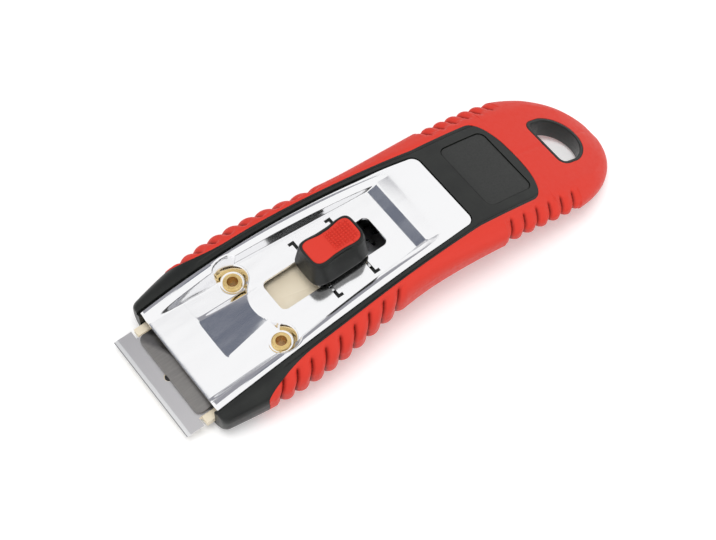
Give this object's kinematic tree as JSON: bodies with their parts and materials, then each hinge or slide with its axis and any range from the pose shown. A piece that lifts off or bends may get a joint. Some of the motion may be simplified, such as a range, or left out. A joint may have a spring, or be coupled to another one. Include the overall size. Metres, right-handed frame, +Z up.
{
  "type": "razor blade scraper",
  "caption": "Hand scraper with a sliding single-edge blade carriage, press-to-unlock knob, pressed steel cover and soft-grip handle with a hanging hole",
  "frame": {"origin": "on the table under the middle of the tool's overall box, in its plane of symmetry", "axes": "+X from the blade to the tail, +Y to the tool's left seen from the tail, +Z up; the tool lies on the pads under its nose and its tail, with the slide leaning 7.16 degrees up towards the tail"},
  "size_m": [0.182, 0.058, 0.0325],
  "materials": {
    "black_plastic": "fine satin moulding",
    "red_elastomer": "smooth soft matte",
    "bright_steel": "polished nickel plate",
    "label_plastic": "satin",
    "zinc_steel": "zinc plated",
    "brass": "polished",
    "cream_plastic": "semi-gloss moulding",
    "blade_steel": "ground",
    "clamp_steel": "phosphated",
    "spring_steel": "tempered strip"
  },
  "bodies": {
    "handle": {"core": "black_plastic", "grip": "red_elastomer", "cover_plate": "bright_steel", "label_plate": "label_plastic", "bed_plate": "zinc_steel", "eyelet_far": "brass", "eyelet_near": "brass", "washer_far": "zinc_steel", "washer_near": "zinc_steel"},
    "carriage": {"blade_carrier": "cream_plastic", "blade": "blade_steel", "blade_pin": "clamp_steel", "clamp_plate": "clamp_steel", "clamp_rivet_far": "zinc_steel", "clamp_rivet_near": "zinc_steel", "lock_spring": "spring_steel", "leaf_rivet_far": "zinc_steel", "leaf_rivet_near": "zinc_steel"},
    "knob": {"knob_body": "black_plastic", "knob_insert": "red_elastomer", "knob_foot": "zinc_steel", "screw_front": "zinc_steel", "screw_rear": "zinc_steel"}
  },
  "joints": [
    {"name": "blade_slide", "type": "slide", "parent": "handle", "child": "carriage", "axis": [0.9922, 0, 0.1246], "range_m": [-0.0141, 0.0117]},
    {"name": "knob_press", "type": "slide", "parent": "carriage", "child": "knob", "axis": [0.1246, 0, -0.9922], "range_m": [0, 0.0012], "stiffness_N_per_m": 1500, "springref_m": -0.002, "deforming": ["lock_spring"]}
  ]
}
